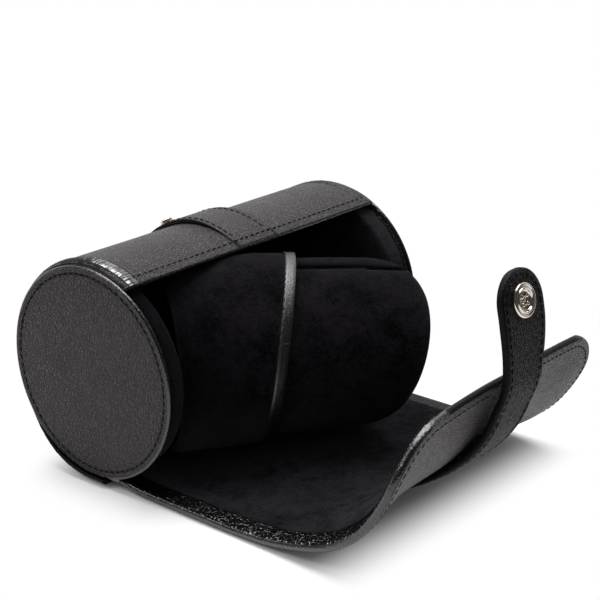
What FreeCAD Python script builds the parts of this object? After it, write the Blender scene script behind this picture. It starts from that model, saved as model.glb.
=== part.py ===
"""Watch roll: a round leather case that opens along its length, with a loose watch insert.

Frame: X points to the front, where the flap opens. Y runs along the roll, from the near cap to
the far cap, with zero at mid-length. Z is up, with zero on the surface that the roll lies on.
"""
import math
import os

import FreeCAD
import Part

# Roll and wrap
roll_length = 143.0
wrap_radius = 42.0
leather_thickness = 1.2
stiffener_thickness = 1.3
lining_thickness = 1.0
hem_width = 9.0
lip_angle = 28.0
edge_round = 0.9

# End caps
cap_disc_thickness = 1.6
cap_core_depth = 7.5
cap_lining_thickness = 1.0
cap_rim_round = 1.6
cap_seat_clearance = 0.1

# Strap and snap
strap_width = 21.5
strap_thickness = 2.2
strap_lip_setback = 0.8
tab_length = 36.0
tab_curl_radius = 80.0
tab_hinge_gap = 0.5
tab_press_angle = 24.0
snap_reach = 25.0
snap_radius = 6.2
snap_flange = 0.7
snap_rim_height = 1.5
snap_rim_width = 1.3
snap_dish_depth = 0.5
barrel_radius = 2.0
barrel_clearance = 0.05
socket_radius = 5.2
socket_height = 2.9
socket_roof = 0.6
socket_bore_radius = 3.9
stud_base_radius = 4.4
stud_base_height = 0.6
stud_neck_radius = 1.9
stud_head_radius = 2.7
stud_height = 3.3
stud_shank_radius = 1.5
seat_depth = 0.55

# Flap, a row of strips that stand for one bending sheet
flap_strip_length = 24.5
flap_flat_run = 11.5
flap_side_clearance = 0.7
flap_corner_radius = 23.0
bend_gap = 0.4
rest_bends = (0.0, 0.0, 0.0, 25.0, 26.0, 20.0)
closed_bends = (25.0, 26.8, 34.4, 37.8, 32.2, 23.2)

# Insert: a sleeve and the sprung cuff that slides in it
sleeve_radius = 34.3
sleeve_wall = 1.6
sleeve_length = 37.0
binding_width = 3.2
binding_stand = 0.3
mouth_slant = 15.0
insert_yaw = 33.0
insert_front = 26.5
insert_along = -9.4
insert_clearance = 0.8
cuff_radius = 32.0
cuff_pad_thickness = 2.4
cuff_spring_thickness = 1.2
cuff_reach = 59.0
cuff_hold = 10.0
cuff_slot_width = 11.0
cuff_end_round = 1.1

# Worked-out sizes
wall_thickness = leather_thickness + stiffener_thickness + lining_thickness
lining_radius = wrap_radius - wall_thickness
axis_height = wrap_radius + strap_thickness
lining_height = axis_height - lining_radius
wrap_half_width = roll_length / 2 - cap_disc_thickness
flap_half_width = wrap_half_width - flap_side_clearance
strip_count = len(rest_bends)

V = FreeCAD.Vector
Y_AXIS = V(0, 1, 0)
Z_AXIS = V(0, 0, 1)
BEND_AXIS = V(0, -1, 0)


def rounded(shape, radius, wanted):
    """Fillet the edges whose middle point passes the test."""
    edges = [edge for edge in shape.Edges if wanted(edge.CenterOfMass, edge)]
    return shape.makeFillet(radius, edges)


def joined(first, *others):
    """One clean solid from pieces that touch."""
    return first.fuse(list(others)).removeSplitter()


def on_roll(radius, angle):
    """A point round the roll's axis, with the angle from the top toward the front."""
    turn = math.radians(angle)
    return V(radius * math.sin(turn), 0, axis_height + radius * math.cos(turn))


def swept_face(edges, half_width):
    """Extrude a closed outline in the XZ plane to both sides of mid-length."""
    face = Part.Face(Part.Wire(edges))
    face.translate(V(0, -half_width, 0))
    return face.extrude(V(0, half_width * 2, 0))


def sector(inner, outer, from_angle, to_angle, half_width):
    """A piece of round wall between two radii and two angles."""
    middle = (from_angle + to_angle) / 2
    corners = [on_roll(outer, from_angle), on_roll(outer, to_angle)]
    corners += [on_roll(inner, to_angle), on_roll(inner, from_angle)]
    edges = [
        Part.Arc(corners[0], on_roll(outer, middle), corners[1]).toShape(),
        Part.makeLine(corners[1], corners[2]),
        Part.Arc(corners[2], on_roll(inner, middle), corners[3]).toShape(),
        Part.makeLine(corners[3], corners[0]),
    ]
    return swept_face(edges, half_width)


def wall(inner, outer, from_angle, half_width):
    """Wall from an angle near the lip over the top and back to the flat run under the front."""
    round_part = sector(inner, outer, from_angle, -180.0, half_width)
    run = flap_flat_run - bend_gap / 2
    flat_part = Part.makeBox(run, half_width * 2, outer - inner, V(0, -half_width, axis_height - outer))
    return joined(round_part, flat_part)


def arc_degrees(length, radius):
    return math.degrees(length / radius)


def wrap_leather():
    """Outer leather with its turned lip and the hem that shows inside."""
    inner = wrap_radius - leather_thickness
    hem_outer = lining_radius + lining_thickness
    skin = wall(inner, wrap_radius, lip_angle, wrap_half_width)
    lip_start = lip_angle - arc_degrees(leather_thickness, lining_radius)
    lip = sector(lining_radius, wrap_radius, lip_start, lip_angle, wrap_half_width)
    hem_start = lip_angle - arc_degrees(hem_width, lining_radius)
    hem = sector(lining_radius, hem_outer, hem_start, lip_angle, wrap_half_width)
    shape = joined(skin, lip, hem)
    corners = (on_roll(wrap_radius, lip_angle), on_roll(lining_radius, lip_angle))
    reach = leather_thickness / 2

    def at_lip(middle, edge):
        return any((middle - corner).Length < reach for corner in corners)

    return rounded(shape, edge_round, at_lip)


def wrap_stiffener():
    inner = lining_radius + lining_thickness
    start = lip_angle - arc_degrees(leather_thickness, lining_radius)
    return wall(inner, inner + stiffener_thickness, start, wrap_half_width)


def wrap_lining():
    start = lip_angle - arc_degrees(hem_width, lining_radius)
    return wall(lining_radius, lining_radius + lining_thickness, start, wrap_half_width)


def cap_pieces(side):
    """Leather disc, core and suede cover of one end, where side is -1 near and 1 far."""
    outward = V(0, side, 0)
    centre = V(0, 0, axis_height)
    disc_seat = centre + outward * wrap_half_width
    disc = Part.makeCylinder(wrap_radius, cap_disc_thickness, disc_seat, outward)
    outer_face = side * roll_length / 2
    disc = rounded(disc, edge_round, lambda middle, edge: abs(middle.y - outer_face) < edge_round / 2)
    rim_radius = lining_radius - cap_seat_clearance
    core_radius = rim_radius - cap_lining_thickness
    inward = outward * -1
    core = Part.makeCylinder(core_radius, cap_core_depth, disc_seat, inward)
    cover = Part.makeCylinder(rim_radius, cap_core_depth + cap_lining_thickness, disc_seat, inward)
    inner_face = side * (wrap_half_width - cap_core_depth - cap_lining_thickness)
    cover = rounded(cover, cap_rim_round, lambda middle, edge: abs(middle.y - inner_face) < edge_round / 2)
    return disc, core, cover.cut(core)


def strip_frames(bends):
    """Places of the flap's strips: local X along the flap, local Z zero on the lining face."""
    frames = []
    corner = V(flap_flat_run, 0, lining_height)
    turned = 0.0
    for bend in bends:
        turned += bend
        turn = FreeCAD.Rotation(BEND_AXIS, turned)
        frames.append(FreeCAD.Placement(corner, turn))
        corner = corner + turn.multVec(V(flap_strip_length, 0, 0))
    return frames


def strip_outline(inset, is_last):
    """Plan of one strip, drawn in by an inset at its free sides, with round end corners."""
    start = bend_gap / 2
    half = flap_half_width - inset
    if not is_last:
        size = flap_strip_length - bend_gap
        return Part.makePlane(size, half * 2, V(start, -half, 0))
    end = flap_strip_length - inset
    radius = flap_corner_radius - inset
    diagonal = radius * math.sqrt(0.5)
    bend_x, bend_y = end - radius, half - radius
    points = [V(start, -half, 0), V(bend_x, -half, 0), V(end, -bend_y, 0)]
    points += [V(end, bend_y, 0), V(bend_x, half, 0), V(start, half, 0)]
    edges = [
        Part.makeLine(points[0], points[1]),
        Part.Arc(points[1], V(bend_x + diagonal, -bend_y - diagonal, 0), points[2]).toShape(),
        Part.makeLine(points[2], points[3]),
        Part.Arc(points[3], V(bend_x + diagonal, bend_y + diagonal, 0), points[4]).toShape(),
        Part.makeLine(points[4], points[5]),
        Part.makeLine(points[5], points[0]),
    ]
    return Part.Face(Part.Wire(edges))


def slab(inset, is_last, low, high):
    """Strip plan raised between two levels below the lining face."""
    plan = strip_outline(inset, is_last)
    plan.translate(V(0, 0, low))
    return plan.extrude(V(0, 0, high - low))


def strip_leather(is_last):
    """Outer leather with its turned sides and the hem that borders the lining."""
    hem_level = -lining_thickness
    skin_level = leather_thickness - wall_thickness
    block = slab(0, is_last, -wall_thickness, 0)

    def outer_side(middle, edge):
        at_bottom = abs(middle.z + wall_thickness) < edge_round / 2
        return at_bottom and middle.x > bend_gap and not ends_strip(middle)

    def ends_strip(middle):
        return not is_last and middle.x > flap_strip_length - bend_gap

    block = rounded(block, edge_round, outer_side)
    core_room = slab(leather_thickness, is_last, skin_level, hem_level)
    lining_room = slab(hem_width, is_last, hem_level, 0)
    return block.cut([core_room, lining_room])


def strip_strap(is_last):
    """Strap stretch on the strip's outer face."""
    setback = tab_hinge_gap if is_last else 0
    length = flap_strip_length - bend_gap - setback
    corner = V(bend_gap / 2, -strap_width / 2, -wall_thickness - strap_thickness)
    return Part.makeBox(length, strap_width, strap_thickness, corner)


def flap_pieces(index):
    """Leather, stiffener, lining and strap of one strip in its own frame."""
    is_last = index == strip_count - 1
    hem_level = -lining_thickness
    skin_level = leather_thickness - wall_thickness
    return {
        "flap_leather": strip_leather(is_last),
        "flap_stiffener": slab(leather_thickness, is_last, skin_level, hem_level),
        "flap_lining": slab(hem_width, is_last, hem_level, 0),
        "flap_strap": strip_strap(is_last),
    }


def tab_frame(strip_frame, press):
    """Place of the strap's tab on the flap's end, turned in by a press angle."""
    lever = strap_thickness / 2 + tab_hinge_gap
    pivot = V(flap_strip_length + lever - tab_hinge_gap, 0, -wall_thickness - strap_thickness / 2)
    local = FreeCAD.Placement(pivot, FreeCAD.Rotation(BEND_AXIS, press))
    return strip_frame.multiply(local)


def tab_point(length, offset):
    """Point along the tab's curl, moved outward by an offset, in the tab's frame."""
    turn = length / tab_curl_radius
    reach = tab_curl_radius + offset
    return V(reach * math.sin(turn), 0, tab_curl_radius - reach * math.cos(turn))


def tab_normal(length):
    """Outward direction at a length along the tab."""
    turn = length / tab_curl_radius
    return V(math.sin(turn), 0, -math.cos(turn))


def tab_stretch(start, end):
    """Curled stretch of the tab between two lengths."""
    half = strap_thickness / 2
    middle = (start + end) / 2
    edges = [
        Part.Arc(tab_point(start, half), tab_point(middle, half), tab_point(end, half)).toShape(),
        Part.makeLine(tab_point(end, half), tab_point(end, -half)),
        Part.Arc(tab_point(end, -half), tab_point(middle, -half), tab_point(start, -half)).toShape(),
        Part.makeLine(tab_point(start, -half), tab_point(start, half)),
    ]
    return swept_face(edges, strap_width / 2)


def peg(radius, length, seat, direction):
    return Part.makeCylinder(radius, length, seat, direction)


def strap_tab():
    """Tab with a round end, a rolled root and flat seats for the snap."""
    half = strap_thickness / 2
    bend_start = tab_length - strap_width / 2
    root = peg(half, strap_width, V(0, -strap_width / 2, 0), Y_AXIS)
    end_axis = tab_normal(bend_start)
    end_seat = tab_point(bend_start, 0) - end_axis * strap_width
    end_disc = peg(strap_width / 2, strap_width * 2, end_seat, end_axis)
    end = tab_stretch(bend_start, tab_length).common(end_disc)
    shape = joined(tab_stretch(0, bend_start), end, root)
    axis = tab_normal(snap_reach)
    hole = peg(barrel_radius + barrel_clearance, strap_width, tab_point(snap_reach, strap_width / 2), axis * -1)
    outer_seat = peg(snap_radius + barrel_clearance, strap_width, tab_point(snap_reach, half - seat_depth), axis)
    return shape.cut([hole, outer_seat])


def turned(profile, seat, direction):
    """Solid of revolution from radius and height pairs, stood on a seat."""
    points = [V(radius, 0, height) for radius, height in profile]
    face = Part.Face(Part.makePolygon(points + points[:1]))
    solid = face.revolve(V(0, 0, 0), Z_AXIS, 360)
    solid.Placement = FreeCAD.Placement(seat, FreeCAD.Rotation(Z_AXIS, direction))
    return solid


def snap_cap():
    """Polished cap with a raised rim, a dished middle and a barrel through the tab."""
    axis = tab_normal(snap_reach)
    seat = tab_point(snap_reach, strap_thickness / 2 - seat_depth)
    rim_in = snap_radius - snap_rim_width * 2
    barrel = strap_thickness - seat_depth
    profile = [(0, -barrel), (barrel_radius, -barrel), (barrel_radius, 0), (snap_radius, 0)]
    profile += [(snap_radius, snap_flange), (snap_radius - snap_rim_width, snap_rim_height)]
    profile += [(rim_in, snap_rim_height), (rim_in, snap_dish_depth), (0, snap_dish_depth)]
    return turned(profile, seat, axis)


def socket_seat_drop():
    """How far a flat socket stands off the middle of the hollow inner face."""
    radius = tab_curl_radius - strap_thickness / 2
    return radius - math.sqrt(radius ** 2 - socket_radius ** 2)


def snap_socket():
    """Socket on the tab's inner side that closes over the stud."""
    axis = tab_normal(snap_reach) * -1
    seat = tab_point(snap_reach, -strap_thickness / 2)
    drop = socket_seat_drop()
    profile = [(0, 0), (barrel_radius, 0), (barrel_radius, drop), (socket_radius, drop)]
    profile += [(socket_radius, socket_height), (socket_bore_radius, socket_height)]
    profile += [(socket_bore_radius, drop + socket_roof), (0, drop + socket_roof)]
    return turned(profile, seat, axis)


def stud_angle():
    """Where the socket lands on the strap when the flap is closed and the tab pressed down."""
    frame = tab_frame(strip_frames(closed_bends)[-1], tab_press_angle)
    landing = frame.multVec(tab_point(snap_reach, -strap_thickness / 2 - socket_height / 2))
    return math.degrees(math.atan2(landing.x, landing.z - axis_height))


def stud_seat():
    angle = stud_angle()
    direction = (on_roll(axis_height, angle) - V(0, 0, axis_height)).normalize()
    return on_roll(axis_height - seat_depth / 2, angle), direction


def snap_stud():
    """Ball-headed stud riveted through the strap."""
    seat, direction = stud_seat()
    shank = strap_thickness - seat_depth / 2
    base_top = stud_base_height
    head_low = stud_height - stud_head_radius
    profile = [(0, -shank), (stud_shank_radius, -shank), (stud_shank_radius, 0), (stud_base_radius, 0)]
    profile += [(stud_base_radius, base_top), (stud_neck_radius, base_top)]
    profile += [(stud_neck_radius, head_low), (stud_head_radius, (head_low + stud_height) / 2)]
    profile += [(stud_neck_radius, stud_height), (0, stud_height)]
    return turned(profile, seat, direction)


def body_strap():
    """Strap round the fixed part of the wrap, holed for the stud."""
    start = lip_angle - arc_degrees(strap_lip_setback, wrap_radius)
    shape = wall(wrap_radius, axis_height, start, strap_width / 2)
    seat, direction = stud_seat()
    flat = peg(stud_base_radius + barrel_clearance, strap_width, seat, direction)
    hole = peg(stud_shank_radius + barrel_clearance, strap_width, seat, direction * -1)
    inside = sector(wrap_radius / 2, wrap_radius, lip_angle, -180.0, strap_width)
    return shape.cut([flat, hole.cut(inside)])


def insert_frame():
    """Place of the insert: local Y along its axis, zero at the middle of the sleeve's mouth."""
    height = lining_height + insert_clearance + sleeve_radius + binding_stand
    turn = FreeCAD.Rotation(Z_AXIS, -insert_yaw)
    return FreeCAD.Placement(V(insert_front, insert_along, height), turn)


def slanted_slab(from_mouth, to_mouth):
    """Slab across the sleeve, parallel to its slanting mouth."""
    size = sleeve_length * 4
    box = Part.makeBox(size, to_mouth - from_mouth, size, V(-size / 2, from_mouth, -size / 2))
    box.rotate(V(0, 0, 0), V(1, 0, 0), -mouth_slant)
    return box


def tube(outer, inner, start, end):
    seat = V(0, start, 0)
    length = end - start
    return peg(outer, length, seat, Y_AXIS).cut(peg(inner, length, seat, Y_AXIS))


def sleeve_pieces():
    """Suede tube and the leather binding round its slanting mouth."""
    inner = sleeve_radius - sleeve_wall
    long_tube = tube(sleeve_radius, inner, -sleeve_length, sleeve_length)
    suede = long_tube.cut(slanted_slab(-binding_width, sleeve_length * 2))
    ring = tube(sleeve_radius + binding_stand, inner, -sleeve_length, sleeve_length)
    return suede, ring.common(slanted_slab(-binding_width, 0))


def cuff_shell(outer, thickness, end_round, slot_width):
    """Sprung C-shaped shell, open along its top."""
    inner = outer - thickness
    low, high = -cuff_hold, cuff_reach
    points = [V(inner, low, 0), V(outer, low, 0), V(outer, high, 0), V(inner, high, 0)]
    face = Part.Face(Part.makePolygon(points + points[:1]))
    half_slot = math.degrees(math.asin(slot_width / 2 / outer))
    face.rotate(V(0, 0, 0), Y_AXIS, -90 + half_slot)
    shell = face.revolve(V(0, 0, 0), Y_AXIS, 360 - half_slot * 2)
    ends = (low, high)

    def at_end(middle, edge):
        is_round = isinstance(edge.Curve, Part.Circle) and edge.Curve.Radius > inner + thickness / 2
        return is_round and any(abs(middle.y - end) < end_round / 2 for end in ends)

    return rounded(shell, end_round, at_end)


def cuff_pieces():
    """Padded suede outside and the spring liner that holds it round."""
    pad = cuff_shell(cuff_radius, cuff_pad_thickness, cuff_end_round, cuff_slot_width)
    liner_radius = cuff_radius - cuff_pad_thickness
    spring = cuff_shell(liner_radius, cuff_spring_thickness, cuff_spring_thickness / 2, cuff_slot_width)
    return pad, spring


def placed(shape, placement):
    """A copy of a shape carried from its own frame to its place."""
    moved = shape.copy()
    moved.Placement = placement.multiply(moved.Placement)
    return moved


def all_pieces():
    """Every piece of the roll by name, in its rest place."""
    pieces = {
        "wrap_leather": wrap_leather(),
        "wrap_stiffener": wrap_stiffener(),
        "wrap_lining": wrap_lining(),
        "body_strap": body_strap(),
        "snap_stud": snap_stud(),
    }
    for name, side in (("near", -1), ("far", 1)):
        disc, core, cover = cap_pieces(side)
        pieces[name + "_cap_disc"] = disc
        pieces[name + "_cap_core"] = core
        pieces[name + "_cap_lining"] = cover
    frames = strip_frames(rest_bends)
    for index, frame in enumerate(frames):
        for name, shape in flap_pieces(index).items():
            pieces[name + "_" + str(index + 1)] = placed(shape, frame)
    at_end = tab_frame(frames[-1], 0)
    tab_shapes = {"strap_tab": strap_tab(), "snap_cap": snap_cap(), "snap_socket": snap_socket()}
    for name, shape in tab_shapes.items():
        pieces[name] = placed(shape, at_end)
    sleeve, binding = sleeve_pieces()
    pad, spring = cuff_pieces()
    insert_shapes = {"sleeve_suede": sleeve, "sleeve_binding": binding}
    insert_shapes.update({"cuff_pad": pad, "cuff_spring": spring})
    for name, shape in insert_shapes.items():
        pieces[name] = placed(shape, insert_frame())
    return pieces


def main():
    os.makedirs("parts", exist_ok=True)
    for name, shape in all_pieces().items():
        solids = len(shape.Solids)
        print(name, "solids", solids, "valid", shape.isValid(), "volume", round(shape.Volume, 1))
        shape.exportStep("parts/" + name + ".step")
    print("stud angle from the top toward the front", round(stud_angle(), 1))


main()
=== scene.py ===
# %% [markdown]
# A watch roll, opened
#
# A drum of stiffened black leather has a round cap at each end. Its cover unrolls in front as a flap, a stitched
# strap runs round the middle, and a soft insert with a sprung cuff lies half out of it. The solid model gives
# every place and joint. Here each soft piece is cut flat, sewn, and bent to its place, as the real one is made,
# because then creases, stitches and grain follow the leather.

# %% Load the frame
import bpy
import bmesh
from math import asin, copysign, cos, exp, hypot, pi, radians, sin, sqrt
from mathutils import Matrix, Vector, noise


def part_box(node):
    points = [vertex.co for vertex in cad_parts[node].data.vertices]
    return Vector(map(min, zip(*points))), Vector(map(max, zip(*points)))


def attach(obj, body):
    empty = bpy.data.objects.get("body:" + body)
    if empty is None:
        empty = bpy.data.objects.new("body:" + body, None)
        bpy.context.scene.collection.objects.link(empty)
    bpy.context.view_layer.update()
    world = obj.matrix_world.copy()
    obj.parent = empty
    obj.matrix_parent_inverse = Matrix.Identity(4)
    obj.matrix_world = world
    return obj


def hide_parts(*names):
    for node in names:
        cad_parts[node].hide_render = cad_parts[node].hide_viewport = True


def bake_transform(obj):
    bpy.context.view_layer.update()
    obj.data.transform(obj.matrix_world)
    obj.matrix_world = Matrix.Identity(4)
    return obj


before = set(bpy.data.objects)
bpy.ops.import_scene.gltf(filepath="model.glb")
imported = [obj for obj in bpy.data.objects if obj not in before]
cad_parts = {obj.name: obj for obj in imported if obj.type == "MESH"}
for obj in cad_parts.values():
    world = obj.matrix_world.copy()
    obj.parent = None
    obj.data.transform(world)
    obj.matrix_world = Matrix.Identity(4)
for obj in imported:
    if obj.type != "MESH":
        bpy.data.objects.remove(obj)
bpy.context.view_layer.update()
mm = 0.001


def rounded(values, digits=1):
    return [round(value, digits) for value in values]


# %% [markdown]
# A leather worker starts from one list of sizes, and so does this lesson. They are the solid model's own, in
# millimetres, so that every piece lands on its solid. X points to the front, Y along the drum, Z up.

# %% The list of sizes
ROLL_HALF = 71.5
WRAP_RADIUS = 42.0
WALL = 3.5
AXIS_HEIGHT = 44.2
LINING_RADIUS = WRAP_RADIUS - WALL
LINING_HEIGHT = AXIS_HEIGHT - LINING_RADIUS
DISC_THICK = 1.6
WRAP_HALF = ROLL_HALF - DISC_THICK
FLAP_HALF = WRAP_HALF - 0.7
LIP_ANGLE = radians(28.0)
STRAP_WIDTH = 21.5
STRAP_THICK = 2.2
FLAT_RUN = 11.5
STRIP = 24.5
REST_BENDS = [radians(a) for a in (0.0, 0.0, 0.0, 25.0, 26.0, 20.0)]
CORNER_RADIUS = 23.0
print("drum in mm:", 2 * ROLL_HALF, "long and", 2 * WRAP_RADIUS, "across")


def ease(low, high, value):
    """0 below low, 1 above high, and a soft rise between."""
    share = min(1.0, max(0.0, (value - low) / (high - low)))
    return share * share * (3 - 2 * share)


# %% [markdown]
# The camera stands in front and to the left with a long lens. It could be placed by eye, but here its place was
# worked out from the cap's outline and the drum's straight edges, so the drum needs no shift in the frame.

# %% The camera
CAMERA_PLACE = Vector((439.7, -468.2, 286.1))
lens = bpy.data.cameras.new("photo_camera")
lens.lens, lens.sensor_width = 104.5, 36.0
camera = bpy.data.objects.new("photo_camera", lens)
bpy.context.collection.objects.link(camera)
forward = Vector((-0.61058, 0.71469, -0.34120)).normalized()
right = forward.cross(Vector((0, 0, 1))).normalized()
turn = Matrix((right, right.cross(forward), -forward)).transposed()
camera.matrix_world = Matrix.Translation(CAMERA_PLACE * mm) @ turn.to_4x4()
bpy.context.scene.camera = camera
bpy.context.scene.view_settings.view_transform = "Standard"
print("camera looks along", rounded(forward, 3))

# %% [markdown]
# The studio is a white table under soft light. A plain white plane would turn grey far from the lamps, so this
# one keeps the drum's shadow close by, and further away shows its own white to the camera instead of the light
# it gets.


# %% The table
def feed(tree, socket, value):
    """Gives an input a plain value, or links another node's output to it."""
    if isinstance(value, bpy.types.NodeSocket):
        tree.links.new(value, socket)
    else:
        socket.default_value = value


def node_of(tree, kind, *inputs, **settings):
    """A new node. Its inputs are given in order or by name, and its other settings by name."""
    node = tree.nodes.new("ShaderNode" + kind)
    for name, value in settings.items():
        if name in node.inputs.keys():
            feed(tree, node.inputs[name], value)
        else:
            setattr(node, name, value)
    for socket, value in zip(node.inputs, inputs):
        feed(tree, socket, value)
    return node


def reckon(tree, operation, *values):
    return node_of(tree, "Math", *values, operation=operation).outputs[0]


def shift(tree, operation, *values, **more):
    node = node_of(tree, "VectorMath", *values, operation=operation, **more)
    return node.outputs["Value" if operation in ("LENGTH", "DOT_PRODUCT") else "Vector"]


def ranged(tree, value, low, high, to_low=0.0, to_high=1.0):
    """Carries a value softly from one range to another."""
    spans = (low, high, to_low, to_high)
    return node_of(tree, "MapRange", value, *spans, interpolation_type="SMOOTHSTEP").outputs[0]


def seen_straight(tree):
    """1 for rays that show the background itself: from the camera, off metal or through glass."""
    path = node_of(tree, "LightPath").outputs
    shown = reckon(tree, "MAXIMUM", path["Is Camera Ray"], path["Is Glossy Ray"])
    return reckon(tree, "MAXIMUM", shown, path["Is Transmission Ray"])


SHADOW_MIDDLE, SHADOW_REACH, SHADOW_FADE = (0.044, 0.0, 0.0), (0.052, 0.066, 0.0), 0.031
WHITE = (1, 1, 1, 1)


def table_finish():
    finish = bpy.data.materials.new("white_table")
    finish.use_nodes = True
    tree = finish.node_tree
    tree.nodes.clear()
    spot = node_of(tree, "TexCoord").outputs["Object"]
    off = shift(tree, "ABSOLUTE", shift(tree, "SUBTRACT", spot, SHADOW_MIDDLE))
    past = shift(tree, "MAXIMUM", shift(tree, "SUBTRACT", off, SHADOW_REACH), (0, 0, 0))
    fade = ranged(tree, shift(tree, "LENGTH", past), 0.0, SHADOW_FADE)
    paper = node_of(tree, "BsdfDiffuse", Color=(0.93, 0.93, 0.93, 1)).outputs[0]
    white = node_of(tree, "Emission", Color=WHITE, Strength=1.0).outputs[0]
    share = reckon(tree, "MULTIPLY", fade, seen_straight(tree))
    mix = node_of(tree, "MixShader", share, paper, white)
    node_of(tree, "OutputMaterial", mix.outputs[0])
    return finish


def make_piece(name, bm, finishes):
    """An object with smooth faces and these finishes."""
    mesh = bpy.data.meshes.new(name)
    bm.to_mesh(mesh)
    bm.free()
    for finish in finishes:
        mesh.materials.append(finish)
    mesh.polygons.foreach_set("use_smooth", [True] * len(mesh.polygons))
    piece = bpy.data.objects.new(name, mesh)
    bpy.context.collection.objects.link(piece)
    return piece


TABLE_HALF, TABLE_EDGE = 1.6, 0.32
table_mesh = bmesh.new()
bmesh.ops.create_grid(table_mesh, x_segments=2, y_segments=2, size=TABLE_HALF)
bmesh.ops.translate(table_mesh, verts=table_mesh.verts, vec=(TABLE_EDGE - TABLE_HALF, 0, 0))
table = make_piece("table", table_mesh, [table_finish()])
print("table, width in m:", 2 * TABLE_HALF)

# %% [markdown]
# One big soft lamp above and behind throws the shadow forward, and one at the side lights the near cap evenly.
# An evenly white room could do the work too, but black leather would look grey in it, so the room is dim
# towards the front.


# %% The lamps and the room
def soft_lamp(name, place, aim, size, watts):
    lamp = bpy.data.lights.new(name, "AREA")
    lamp.shape, lamp.size, lamp.energy = "DISK", size, watts
    stand = bpy.data.objects.new(name, lamp)
    bpy.context.collection.objects.link(stand)
    line = (Vector(aim) - Vector(place)).to_track_quat("-Z", "Y")
    stand.matrix_world = Matrix.Translation(place) @ line.to_matrix().to_4x4()


soft_lamp("lamp_above", (-0.22, 0.20, 1.30), (0.05, 0, 0.0), 1.2, 22.0)
soft_lamp("lamp_side", (-0.70, -1.00, 1.10), (0.0, 0, 0.04), 0.7, 6.0)

BACK_WALL, ROOM_LIGHT = (-0.65, 0.76, 0.0), 0.42
room = bpy.data.worlds.new("room")
bpy.context.scene.world = room
room.use_nodes = True
tree = room.node_tree
tree.nodes.clear()
way = node_of(tree, "TexCoord").outputs["Generated"]
wall = ranged(tree, shift(tree, "DOT_PRODUCT", way, BACK_WALL), 0.15, 0.75, 0.05, 1.0)
shown = reckon(tree, "MAXIMUM", wall, node_of(tree, "LightPath").outputs["Is Camera Ray"])
dim = node_of(tree, "Background", Color=WHITE, Strength=ROOM_LIGHT).outputs[0]
white = node_of(tree, "Background", Color=WHITE, Strength=shown).outputs[0]
mix = node_of(tree, "MixShader", seen_straight(tree), dim, white)
node_of(tree, "OutputWorld", mix.outputs[0])
print("lamps:", len(bpy.data.lights))

# %% [markdown]
# Pebbled leather is a field of small rounded cells with dark, rougher valleys between them. The cells are too
# many to model, and plain noise has no valleys. A Voronoi texture measured to its cell edges gives just that
# field, and a little noise bends the walls so that no row looks ruled.


# %% Pebbled leather
def new_finish(name, colour, roughness):
    finish = bpy.data.materials.new(name)
    finish.use_nodes = True
    set_look(finish, {"Base Color": (*colour, 1), "Roughness": roughness})
    return finish, finish.node_tree


def set_look(finish, look):
    """Sets the shader's inputs by name."""
    tree = finish.node_tree
    for name, value in look.items():
        feed(tree, tree.nodes["Principled BSDF"].inputs[name], value)
    return finish


def object_places(tree):
    return node_of(tree, "TexCoord").outputs["Object"]


def noise_field(tree, places, scale, detail, roughness=0.5):
    field = node_of(tree, "TexNoise", Vector=places, Scale=scale, Detail=detail, Roughness=roughness)
    return field.outputs[0]


def bent_places(tree, amount, scale):
    """Object coordinates pushed about by noise."""
    spot = object_places(tree)
    push = node_of(tree, "TexNoise", Vector=spot, Scale=scale, Detail=2.0).outputs["Color"]
    centred = shift(tree, "SUBTRACT", push, (0.5, 0.5, 0.5))
    return shift(tree, "ADD", shift(tree, "SCALE", centred, Scale=amount), spot)


def between(tree, share, dark, light):
    node = node_of(tree, "Mix", share, data_type="RGBA")
    node.inputs[6].default_value = (*dark, 1)
    node.inputs[7].default_value = (*light, 1)
    return node.outputs[2]


def raised(tree, height, depth):
    return node_of(tree, "Bump", Strength=1.0, Distance=depth, Height=height).outputs[0]


def summed(tree, first, second, share):
    return reckon(tree, "MULTIPLY_ADD", second, share, first)


def pebbled_leather(name, cell, depth, dark, light, roughness, shine):
    finish, tree = new_finish(name, light, roughness)
    places = bent_places(tree, 0.0007, 420.0)
    edges = node_of(tree, "TexVoronoi", feature="DISTANCE_TO_EDGE", Vector=places, Scale=1.0 / cell)
    pebble = ranged(tree, edges.outputs["Distance"], 0.0, 0.30)
    cells = node_of(tree, "TexVoronoi", feature="F1", Vector=places, Scale=1.0 / cell)
    grey = node_of(tree, "SeparateColor", cells.outputs["Color"]).outputs[0]
    fine, broad = noise_field(tree, places, 2600.0, 3.0), noise_field(tree, places, 55.0, 2.0)
    tone = summed(tree, summed(tree, pebble, broad, 0.5), grey, 0.22)
    look = {"Base Color": between(tree, ranged(tree, tone, 0.2, 1.5), dark, light)}
    look["Roughness"] = ranged(tree, tone, 0.2, 1.4, roughness + 0.22, roughness - 0.06)
    look["Normal"] = raised(tree, summed(tree, pebble, fine, 0.30), depth)
    look["Specular IOR Level"] = shine
    look["Specular Tint"] = (1.0, 0.90, 0.96, 1)
    return set_look(finish, look)


GRAIN_DARK, GRAIN_LIGHT = (0.005, 0.0043, 0.0048), (0.021, 0.018, 0.020)
DISC_DARK, DISC_LIGHT = (0.010, 0.0086, 0.0095), (0.021, 0.0178, 0.0197)
# Painted shade: the strap under the flap and its tab get a darker, duller copy of the strap's leather, where
# they face the dim front of the room; on the drum the strap has the wrap's grain.
STRAP_SHADED_DARK, STRAP_SHADED_LIGHT = (0.002, 0.0017, 0.0019), (0.008, 0.0068, 0.0074)
grain = pebbled_leather("grain_leather", 0.00096, 0.00042, GRAIN_DARK, GRAIN_LIGHT, 0.40, 0.68)
disc_grain = pebbled_leather("disc_leather", 0.00120, 0.00105, DISC_DARK, DISC_LIGHT, 0.42, 0.66)
shaded_strap_grain = pebbled_leather("strap_leather", 0.00115, 0.00042, STRAP_SHADED_DARK, STRAP_SHADED_LIGHT, 0.42, 0.16)
print("leathers:", grain.name, disc_grain.name, shaded_strap_grain.name)

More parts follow.
